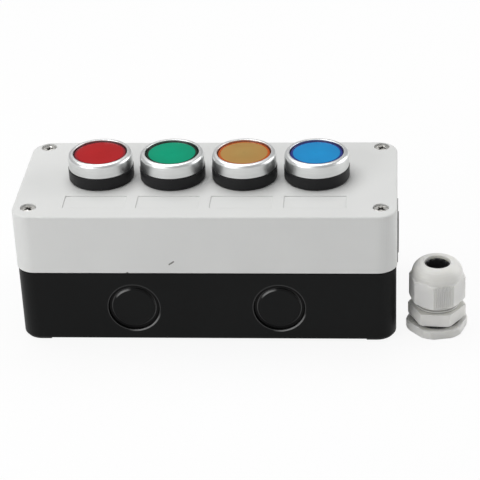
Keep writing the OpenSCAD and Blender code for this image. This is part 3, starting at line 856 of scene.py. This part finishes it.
def add_object(name: str, data: bpy.types.ID) -> Piece:
    """Adds an object to the scene.

    Args:
        name: The object's name.
        data: Its mesh, light or camera.

    Returns:
        The new object.
    """
    added = bpy.data.objects.new(name, data)
    bpy.context.scene.collection.objects.link(added)
    return added


def lathe(name: str, outline: Outline, axis: Point, steps: int) -> Piece:
    """Turns a closed outline round an upright axis.

    Args:
        name: The object's name.
        outline: (radius, height) points in metres, anticlockwise when the radius runs to the right.
        axis: Place of the axis; its height is added to the outline's.
        steps: Segments round the axis.

    Returns:
        The object, with its place in its mesh.
    """
    bm = bmesh.new()
    rings = []
    for radius, height in outline:
        centre = (axis[0], axis[1], axis[2] + height)
        rings.append(ring(bm, centre, [radius] * (steps if radius > POLE_R else 1)))
    skin(bm, rings, closed=True)
    return from_bmesh(name, bm)


def coil(name: str, axis: Point, span: tuple[float, float], radius: float, wire: float, turns: int,
         steps: int = 40, sides: int = 12) -> Piece:
    """Winds a round wire into a coil round an upright axis.

    Args:
        name: The object's name.
        axis: Place of the axis, at height zero.
        span: Heights of the coil's lowest and highest points.
        radius: Radius of the wire's middle line.
        wire: Diameter of the wire.
        turns: Number of turns.
        steps: Segments along one turn.
        sides: Segments round the wire.

    Returns:
        The object, with its place in its mesh.
    """
    rise = (span[1] - span[0] - wire) / (turns * steps)
    bm = bmesh.new()
    rings = []
    for step in range(turns * steps + 1):
        turn, middle = math.tau * step / steps, span[0] + wire / 2 + rise * step
        section = arc((radius, middle), wire / 2, 0, 360, sides)[:sides]
        places = [(axis[0] + reach * math.cos(turn), axis[1] + reach * math.sin(turn), height)
                  for reach, height in section]
        rings.append([bm.verts.new(place) for place in places])
    skin(bm, rings, closed=False)
    bm.faces.new(rings[0])
    bm.faces.new(rings[-1])
    return from_bmesh(name, bm)


def bake_nodes(host: Piece, group: bpy.types.NodeTree, values: dict[str, Any], name: str) -> Piece:
    """Runs a geometry tree on a host and keeps the result as a plain mesh.

    Args:
        host: Object whose mesh goes into the tree; it is removed.
        group: The geometry tree.
        values: Its inputs, by name.
        name: Name of the result.

    Returns:
        The plain piece.
    """
    modifier = host.modifiers.new("pattern", "NODES")
    modifier.node_group = group
    for item in group.interface.items_tree:
        if item.item_type == "SOCKET" and item.in_out == "INPUT" and item.name in values:
            modifier[item.identifier] = values[item.name]
    bpy.context.view_layer.update()
    evaluated = host.evaluated_get(bpy.context.evaluated_depsgraph_get())
    mesh = bpy.data.meshes.new_from_object(evaluated)
    host.modifiers.remove(modifier)
    bpy.data.objects.remove(host)
    mesh.name = name
    return add_object(name, mesh)


class PatternTree:
    """A geometry tree that sets one shape on every point of its input mesh."""

    def __init__(self, name: str, material: bpy.types.Material) -> None:
        """Builds the tree.

        Args:
            name: The tree's name.
            material: Material of every copy.
        """
        self.group = bpy.data.node_groups.new(name, "GeometryNodeTree")
        inputs = {"Geometry": "Geometry", "Shape": "Object", "Size": "Float", "Turn spread": "Float",
                  "Seed": "Int"}
        for label, kind in inputs.items():
            self.group.interface.new_socket(label, in_out="INPUT", socket_type=f"NodeSocket{kind}")
        self.group.interface.new_socket("Geometry", in_out="OUTPUT", socket_type="NodeSocketGeometry")
        graph = Graph(self.group, "NodeGroupOutput")
        given = graph.node("NodeGroupInput").outputs
        shape = graph.node("GeometryNodeObjectInfo", {}, {"Object": given["Shape"]})
        spread = graph.node("FunctionNodeRandomValue", {"data_type": "FLOAT"},
                            {3: given["Turn spread"], "Seed": given["Seed"]})
        turn = graph.node("ShaderNodeCombineXYZ", {}, {"Z": spread.outputs[1]})
        size = graph.node("ShaderNodeCombineXYZ", {}, {axis: given["Size"] for axis in "XYZ"})
        copies = graph.node("GeometryNodeInstanceOnPoints", {},
                            {"Points": given["Geometry"], "Instance": shape.outputs["Geometry"],
                             "Rotation": turn.outputs[0], "Scale": size.outputs[0]})
        real = graph.node("GeometryNodeRealizeInstances", {}, {0: copies.outputs[0]})
        painted = {"Geometry": real.outputs[0], "Material": material}
        graph.close(graph.node("GeometryNodeSetMaterial", {}, painted))


def points_object(name: str, places: Iterable[Point]) -> Piece:
    """Makes an object of loose points.

    Args:
        name: The object's name.
        places: The points, in metres.

    Returns:
        The new object.
    """
    mesh = bpy.data.meshes.new(name)
    mesh.from_pydata(list(places), [], [])
    return add_object(name, mesh)


# Sub-assemblies


@dataclass(frozen=True)
class Enclosure:
    """Base, cover, seal and the four cover screws."""

    frame: dict[str, Any]
    grey: Colour = (0.70, 0.705, 0.695)
    black: Colour = (0.0052, 0.0055, 0.0056)
    dust: Colour = (0.03, 0.03, 0.03)
    # Painted shade for the knock-out grooves and the end tongues
    painted_shade: Colour = (0.0015, 0.0015, 0.0016)
    # Painted highlight on the knock-outs' rims
    painted_highlight: Colour = (0.26, 0.26, 0.26)
    steel: Colour = (0.74, 0.73, 0.7)
    edge: float = 0.4 * MM
    head_r: float = 3.3 * MM
    head_height: float = 2.4 * MM
    crown_share: float = 0.86
    crown_rise: float = 0.06 * MM
    shoulder_share: float = 0.95
    shoulder_depth: float = 0.12 * MM
    side_depth: float = 0.4 * MM
    shank_r: float = 1.9 * MM
    shank_end: float = 6.0 * MM
    recess_depth: float = 1.5 * MM
    recess_taper: float = 0.62
    recess_tip: float = 0.2 * MM
    knee_share: float = 1.5
    blade_half: float = 0.5 * MM
    blade_length: float = 2.15 * MM
    turn_spread: float = 1.4
    seed: int = 5

    def dress(self) -> None:
        """Gives the moulded parts, the rubber and the inner screws their finishes, with painted shade and
        highlights on the base.
        """
        low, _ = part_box("cover")
        scuff = DarkMark((0.1, 0.095, 0.085), centre=(-14.2 * MM, low.y, 39.5 * MM), slope=math.radians(36))
        # A small dark spot on the cover's lower edge, by the split
        split_spot = DarkMark((0.03, 0.03, 0.03), centre=(-33.7 * MM, low.y, low.z + 0.1 * MM), length=1.1 * MM,
                     width=0.8 * MM, slope=0.2)
        cover = MouldedPlastic("cover_grey_finish", self.grey, 0.5, grain=1100.0, grain_depth=0.02 * MM,
                               mottle=0.012, edge=self.edge, gloss=0.35)
        base = MouldedPlastic("base_black_finish", self.black, 0.42, grain=1300.0, mottle=0.12,
                              edge=self.edge, gloss=0.12, dust=self.dust)
        nodes = self.frame["nodes"]
        dress(nodes["cover"], cover.build(scuff, split_spot))
        # Painted shade in the knock-out grooves and on the end tongues, and painted highlight arcs on the
        # knock-outs' rims
        marks = (GrooveShade(self.painted_shade), RimHighlight(self.painted_highlight), TongueShade(self.painted_shade))
        dress(nodes["base"], base.build(*marks))
        dress(nodes["cover_seal"], Rubber("cover_seal_finish").build())
        dress(nodes["ring_nuts"], MouldedPlastic("ring_nut_finish", (0.02, 0.02, 0.021), 0.5).build())
        dress(nodes["terminal_screws"], PlatedSteel("terminal_screw_finish").build())

    def cross_outline(self) -> Outline:
        """Outline of the cross-shaped recess: a blade's end and a knee, turned to the four sides.

        Returns:
            The outline, anticlockwise.
        """
        knee = self.blade_half * self.knee_share
        corner = [(self.blade_length, -self.blade_half), (self.blade_length, self.blade_half), (knee, knee)]
        outline: Outline = []
        for _ in range(4):
            outline += corner
            corner = [(-y, x) for x, y in corner]
        return outline

    def in_cross(self, x: float, y: float) -> bool:
        """Whether a point lies in the cross-shaped recess.

        Args:
            x: Place along X.
            y: Place along Y.

        Returns:
            Whether it does.
        """
        near = self.blade_half * 1.2
        crossed = abs(x) < near or abs(y) < near or abs(x) + abs(y) < self.blade_half * self.knee_share * 2
        return crossed and math.hypot(x, y) < self.blade_length

    def screw_shape(self, steps: int = 64) -> Piece:
        """One cross-head screw, with its head's top at the origin and its shank downwards.

        Args:
            steps: Segments round the head.

        Returns:
            The screw that the pattern copies.
        """
        bm = bmesh.new()
        bmesh.ops.create_circle(bm, cap_ends=False, segments=steps, radius=self.head_r * self.crown_share)
        top = list(bm.verts)
        outline = self.cross_outline()
        cross = [bm.verts.new((x, y, self.crown_rise)) for x, y in outline]
        outer = [bm.edges.get(pair) for pair in zip(top, top[1:] + top[:1])]
        inner = [bm.edges.new(pair) for pair in zip(cross, cross[1:] + cross[:1])]
        bmesh.ops.triangle_fill(bm, edges=outer + inner, use_beauty=True)
        for face in list(bm.faces):
            centre = face.calc_center_median()
            if all(vertex in cross for vertex in face.verts) and self.in_cross(centre.x, centre.y):
                bm.faces.remove(face)
        taper = self.recess_taper
        floor = [bm.verts.new((x * taper, y * taper, -self.recess_depth)) for x, y in outline]
        skin(bm, [cross, floor], closed=False)
        tip = bm.verts.new((0, 0, -self.recess_depth - self.recess_tip))
        skin(bm, [floor, [tip]], closed=False)
        profile = [(self.head_r * self.shoulder_share, -self.shoulder_depth),
                   (self.head_r, -self.side_depth), (self.head_r, -self.head_height),
                   (self.shank_r, -self.head_height), (self.shank_r, -self.shank_end)]
        rings = [sorted(top, key=lambda vertex: math.atan2(vertex.co.y, vertex.co.x) % math.tau)]
        rings += [ring(bm, (0.0, 0.0, height), [radius] * steps) for radius, height in profile]
        skin(bm, rings, closed=False)
        bm.faces.new(list(reversed(rings[-1])))
        return from_bmesh("screw_shape", bm, 40.0)

    def build_screws(self) -> Piece:
        """Sets the four screws in their counterbores, each turned as it was left.

        Returns:
            The screws, as one piece.
        """
        low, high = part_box("cover_screws")
        # Painted shade in the cross recesses, below the heads' tops
        steel = PlatedSteel("cover_screw_finish", self.steel, shade_below=high.z - 0.15 * MM).build()
        shape = self.screw_shape()
        tree = PatternTree("cover_screw_pattern", steel)
        middle, half = (low + high) / 2, (high - low) / 2
        reach_x, reach_y = half.x - self.head_r, half.y - self.head_r
        centres = [(middle.x + side * reach_x, middle.y + end * reach_y, high.z)
                   for side in (-1, 1) for end in (-1, 1)]
        values = {"Shape": shape, "Size": 1.0, "Turn spread": self.turn_spread, "Seed": self.seed}
        piece = bake_nodes(points_object("cover_screw_points", centres), tree.group, values,
                           "cover_screw_heads")
        bpy.data.objects.remove(shape)
        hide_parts("cover_screws")
        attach(piece, Body.STATION.value)
        return piece

    def build(self) -> list[Piece]:
        """Dresses the enclosure and returns its new pieces."""
        self.dress()
        return [self.build_screws()]


@dataclass(frozen=True)
class Pushbutton:
    """One illuminated pushbutton with everything on its axis."""

    frame: dict[str, Any]
    colour: ButtonColour
    disc: Colour
    rim: Colour
    edge: Colour
    aluminium: Colour = (0.755, 0.765, 0.762)
    lens_dome: float = 0.25 * MM
    lens_corner: float = 0.55 * MM
    lens_wall: float = 1.1 * MM
    lens_roof: float = 1.3 * MM
    step_width: float = 0.5 * MM
    step_depth: float = 0.12 * MM
    bezel_corner: float = 1.7 * MM
    bezel_wall: float = 0.95 * MM
    bezel_break: float = 0.15 * MM
    lip_height: float = 1.7 * MM
    lip_edge: float = 0.3 * MM
    lens_gap: float = 0.3 * MM
    lens_segments: int = 160
    bezel_segments: int = 192
    spring_wire: float = 0.8 * MM
    spring_turns: int = 5
    travel: float = 4.0 * MM

    def node(self, part: str) -> str:
        """Name of one of this button's solids, new pieces or finishes."""
        return f"{self.colour.value}_{part}"

    def centre(self) -> Point:
        """Place of the axis, at height zero."""
        low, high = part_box(self.node("lens"))
        return ((low.x + high.x) / 2, (low.y + high.y) / 2, 0.0)

    def build_lens(self) -> Piece:
        """Moulds the lens: a slightly crowned disc, a step at the edge and a skirt.

        Returns:
            The lens.
        """
        low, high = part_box(self.node("lens"))
        radius, axis = (high.x - low.x) / 2, self.centre()
        top, foot, corner = high.z - self.lens_dome, low.z, self.lens_corner
        inner, shoulder = radius - self.lens_wall, radius - corner
        flat = shoulder - self.step_width
        slopes = [math.radians(90 * step / 12) for step in range(13)]
        crown = [(flat * math.sin(slope), top + self.lens_dome * math.cos(slope)) for slope in slopes]
        outline: Outline = [(inner, foot), (radius, foot), (radius, top - corner)]
        outline += arc((shoulder, top - corner), corner, 0, 90, 6)[1:]
        outline += [(shoulder - self.step_width * 0.45, top),
                    (shoulder - self.step_width * 0.6, top - self.step_depth),
                    (flat + 0.02 * MM, top - self.step_depth), (flat, top)]
        outline += list(reversed(crown))[1:]
        outline += [(0.0, top - self.lens_roof), (inner, top - self.lens_roof)]
        piece = lathe(self.node("lens_moulding"), outline, axis, self.lens_segments)
        finish = TintedLens(self.node("lens_finish"), self.disc, self.rim, self.edge, axis,
                            flat - 0.1 * MM, radius - corner * 0.7)
        dress(piece, finish.build())
        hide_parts(self.node("lens"))
        self.node("lens")
        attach(piece, f"{self.colour.value}_button")
        return piece

    def build_bezel(self) -> Piece:
        """Turns the bezel: straight side, wide rounded lip and a fine inner edge.

        Returns:
            The bezel.
        """
        low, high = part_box(self.node("bezel"))
        lens_low, lens_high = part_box(self.node("lens"))
        outer, axis = (high.x - low.x) / 2, self.centre()
        opening = (lens_high.x - lens_low.x) / 2 + self.lens_gap
        inner, corner, edge = outer - self.bezel_wall, self.bezel_corner, self.lip_edge
        top, foot, lip = high.z, low.z, high.z - self.lip_height
        outline: Outline = [(inner, foot), (outer - self.bezel_break, foot),
                            (outer, foot + self.bezel_break), (outer, top - corner * 1.05)]
        outline += arc((outer - corner, top - corner), corner, 4, 78, 14)
        outline += [(opening + edge + 0.12 * MM, top - 0.01 * MM)]
        outline += arc((opening + edge, top - edge - 0.01 * MM), edge, 90, 180, 5)
        outline += [(opening, lip), (inner, lip)]
        piece = lathe(self.node("bezel_turning"), outline, axis, self.bezel_segments)
        dress(piece, TurnedMetal(self.node("bezel_finish"), self.aluminium, axis).build())
        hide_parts(self.node("bezel"))
        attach(piece, Body.STATION.value)
        return piece

    def build_spring(self) -> Piece:
        """Winds the return spring, which stands on its shelf.

        Returns:
            The spring.
        """
        low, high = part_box(self.node("spring"))
        radius, axis = (high.x - low.x - self.spring_wire) / 2, self.centre()
        piece = coil(self.node("spring_coil"), axis, (low.z, high.z), radius, self.spring_wire,
                     self.spring_turns)
        dress(piece, PlatedSteel(self.node("spring_finish"), (0.5, 0.5, 0.5)).build())
        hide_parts(self.node("spring"))
        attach(piece, Body.STATION.value)
        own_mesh(piece)
        return piece

    def dress(self) -> None:
        """Gives the solids of this button their finishes."""
        brass = Brass(self.node("brass_finish")).build()
        materials = {
            "head": CollarPlastic(self.node("head_finish"), self.centre()).build(),
            "gasket": Rubber(self.node("gasket_finish")).build(),
            "diffuser": MouldedPlastic(self.node("diffuser_finish"), (0.8, 0.8, 0.78), 0.5).build(),
            "plunger": MouldedPlastic(self.node("plunger_finish"), (0.74, 0.73, 0.68), 0.45).build(),
            "contact_block": MouldedPlastic(self.node("block_finish"), (0.02, 0.02, 0.02), 0.4).build(),
            "contact_slider": MouldedPlastic(self.node("slider_finish"), (0.03, 0.3, 0.14), 0.4).build(),
            "contact_bridge": brass,
            "terminals": brass,
            "lamp": MouldedPlastic(self.node("lamp_finish"), self.disc, 0.15, coat=0.8).build(),
        }
        for part, material in materials.items():
            dress(self.frame["nodes"][self.node(part)], material)

    def build(self) -> list[Piece]:
        """Dresses the button and returns its new pieces."""
        self.dress()
        return [self.build_lens(), self.build_bezel(), self.build_spring()]


@dataclass(frozen=True)
class Gland:
    """The loose cable gland: body, cap nut, seal, washer and locknut."""

    frame: dict[str, Any]
    nylon: Colour = (0.74, 0.735, 0.705)
    groove: Colour = (0.22, 0.215, 0.2)
    hex_height: float = 5.8 * MM
    lobe_count: int = 10
    lobe_depth: float = 0.45 * MM
    lobe_fullness: float = 0.6
    neck_r: float = 5.5 * MM
    neck_edge: float = 0.25 * MM
    bore_r: float = 5.0 * MM
    lip_height: float = 1.4 * MM
    cap_above_seal: float = 2.9 * MM

    def dress(self) -> None:
        """Gives the gland's solids their finishes."""
        nodes = self.frame["nodes"]
        low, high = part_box("gland_washer")
        foot = ((low.x + high.x) / 2, (low.y + high.y) / 2, high.z + self.hex_height)
        plastic = MouldedPlastic("gland_nylon_finish", self.nylon, 0.36, grain_depth=0.02 * MM, mottle=0.02,
                                 edge=0.3 * MM, gloss=0.55, light_depth=6.0 * MM)
        nylon = plastic.build(ThreadShade(self.groove, foot=foot))
        for name in ("gland_body", "gland_cap_nut", "gland_locknut"):
            dress(nodes[name], nylon)
        dress(nodes["gland_washer"], Rubber("gland_washer_finish").build())

    def build_seal(self, steps: int = 160) -> Piece:
        """Moulds the seal: a sleeve whose neck is lobed where it meets the cable.

        Args:
            steps: Segments round the axis.

        Returns:
            The seal.
        """
        low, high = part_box("gland_seal")
        centre_x, centre_y, outer = (low.x + high.x) / 2, (low.y + high.y) / 2, (high.x - low.x) / 2
        shoulder, top, edge = high.z - self.cap_above_seal, high.z, self.neck_edge
        profile = [(self.bore_r, low.z, 0.0), (outer, low.z, 0.0), (outer, shoulder, 0.0),
                   (self.neck_r, shoulder, 0.0), (self.neck_r, top - edge, 0.0),
                   (self.neck_r - edge, top, 0.0), (self.bore_r + 0.1 * MM, top - 0.05 * MM, 0.2),
                   (self.bore_r, top - 0.35 * MM, 1.0), (self.bore_r, top - self.lip_height, 1.0),
                   (self.bore_r, top - self.lip_height * 1.6, 0.0)]
        lobes = [max(0.0, math.cos(math.tau * step / steps * self.lobe_count)) ** self.lobe_fullness
                 for step in range(steps)]
        bm = bmesh.new()
        rings = []
        for radius, height, lobed in profile:
            radii = [radius - self.lobe_depth * lobed * lobe for lobe in lobes]
            rings.append(ring(bm, (centre_x, centre_y, height), radii))
        skin(bm, rings, closed=True)
        piece = from_bmesh("gland_seal_moulding", bm)
        dress(piece, Rubber("gland_seal_finish").build())
        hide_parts("gland_seal")
        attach(piece, Body.SEAL.value)
        return piece

    def build(self) -> list[Piece]:
        """Dresses the gland and returns its new pieces."""
        self.dress()
        return [self.build_seal()]


# Studio


@dataclass(frozen=True)
class SoftLight:
    """A soft rectangular light that points at the object."""

    name: str
    place: Point
    size: tuple[float, float]
    watts: float

    def build(self, target: Point) -> None:
        """Hangs the light.

        Args:
            target: Point that it faces.
        """
        data = bpy.data.lights.new(self.name, "AREA")
        data.shape = "RECTANGLE"
        data.size, data.size_y = self.size
        data.energy = self.watts
        lamp = add_object(self.name, data)
        lamp.location = self.place
        lamp.rotation_euler = (Vector(target) - Vector(self.place)).to_track_quat("-Z", "Y").to_euler()


@dataclass(frozen=True)
class Studio:
    """Floor, soft lights, world and camera."""

    sensor_mm: float = 36.0
    clip: tuple[float, float] = (0.05, 20.0)
    focal_px: float = 1902.767
    picture_px: float = 480.0
    centre_px: tuple[float, float] = (260.0, 250.0)
    pitch: float = 29.413
    yaw: float = 4.634
    roll: float = -2.19
    place_mm: Point = (82.134, -746.885, 448.001)
    target: Point = (0.01, 0.0, 0.035)
    lights: tuple[SoftLight, ...] = (
        SoftLight("top_light", (-0.25, 0.22, 1.08), (1.2, 0.9), 9.8),
        SoftLight("left_light", (-0.66, -0.62, 0.36), (0.6, 0.6), 2.8),
        SoftLight("right_light", (1.0, 0.3, 0.4), (0.8, 0.8), 5.0),
        SoftLight("front_light", (-0.45, -1.0, 0.5), (0.8, 0.5), 1.1),
    )
    floor_colour: Colour = (0.9, 0.9, 0.9)
    floor_half: float = 12.0
    floor_drop: float = 0.2 * MM
    floor_glow: float = 0.9
    ambient: float = 0.2
    backdrop: float = 0.48

    def camera(self) -> None:
        """Sets the camera at the photograph's place."""
        data = bpy.data.cameras.new("camera")
        data.sensor_width = self.sensor_mm
        data.lens = self.focal_px / self.picture_px * data.sensor_width
        data.shift_x = (self.picture_px / 2 - self.centre_px[0]) / self.picture_px
        data.shift_y = (self.centre_px[1] - self.picture_px / 2) / self.picture_px
        data.clip_start, data.clip_end = self.clip
        camera = add_object("camera", data)
        pitch, yaw, roll = (math.radians(angle) for angle in (self.pitch, self.yaw, self.roll))
        right = Vector((math.cos(yaw), math.sin(yaw), 0.0))
        level = Vector((-math.sin(yaw), math.cos(yaw), 0.0))
        forward = level * math.cos(pitch) - Vector((0.0, 0.0, math.sin(pitch)))
        down = forward.cross(right)
        turned_right = right * math.cos(roll) - down * math.sin(roll)
        turned_down = right * math.sin(roll) + down * math.cos(roll)
        turn = Matrix((turned_right, -turned_down, -forward)).transposed().to_4x4()
        camera.matrix_world = Matrix.Translation(Vector(self.place_mm) * MM) @ turn
        bpy.context.scene.camera = camera

    def floor(self) -> None:
        """Lays a plain pale floor that keeps the object's shadow."""
        graph = new_material("floor_finish")
        matt = graph.node("ShaderNodeBsdfDiffuse", {}, {"Color": self.floor_colour})
        glow = graph.node("ShaderNodeEmission", {}, {"Color": WHITE, "Strength": 1.0})
        share = graph.shows_background() * self.floor_glow
        graph.close_mixed(share, matt, glow)
        mesh = bpy.data.meshes.new("floor")
        size = self.floor_half
        corners = [(-size, -size, 0), (size, -size, 0), (size, size, 0), (-size, size, 0)]
        mesh.from_pydata(corners, [], [(0, 1, 2, 3)])
        floor = add_object("floor", mesh)
        floor.location.z = -self.floor_drop
        dress(floor, graph.owner)

    def world(self) -> None:
        """Makes a pale surround, which lights less than it shows."""
        graph = Graph(bpy.data.worlds.new("surround"), "ShaderNodeOutputWorld")
        dim, shown = (graph.node("ShaderNodeBackground", {}, {"Color": WHITE, "Strength": level})
                      for level in (self.ambient, self.backdrop))
        share = graph.shows_background()
        graph.close_mixed(share, dim, shown)
        bpy.context.scene.world = graph.owner

    def build(self) -> None:
        """Sets up the whole studio."""
        self.camera()
        self.floor()
        for light in self.lights:
            light.build(self.target)
        self.world()
        bpy.context.scene.view_settings.view_transform = "Standard"


# Each button with the colours of its lens: the disc, the ring round it and the outer edge
BUTTONS: tuple[tuple[ButtonColour, Colour, Colour, Colour], ...] = (
    (ButtonColour.RED, (0.43, 0.016, 0.018), (0.30, 0.030, 0.040), (0.05, 0.004, 0.008)),
    (ButtonColour.GREEN, (0.001, 0.33, 0.18), (0.024, 0.034, 0.026), (0.003, 0.020, 0.014)),
    (ButtonColour.AMBER, (0.41, 0.26, 0.083), (0.54, 0.105, 0.018), (0.3, 0.05, 0.01)),
    (ButtonColour.BLUE, (0.016, 0.28, 0.61), (0.030, 0.048, 0.24), (0.03, 0.02, 0.16)),
)


def main() -> None:
    """Builds the studio and the whole control station, and reports each new piece."""
    logging.basicConfig(level=logging.INFO, format="%(name)s: %(message)s")
    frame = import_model()
    Studio().build()
    buttons = [Pushbutton(frame, colour, disc, rim, edge) for colour, disc, rim, edge in BUTTONS]
    for assembly in (Enclosure(frame), *buttons, Gland(frame)):
        for piece in assembly.build():
            LOG.info("%s, %d faces", piece.name, len(piece.data.polygons))


if __name__ == "__main__":
    main()
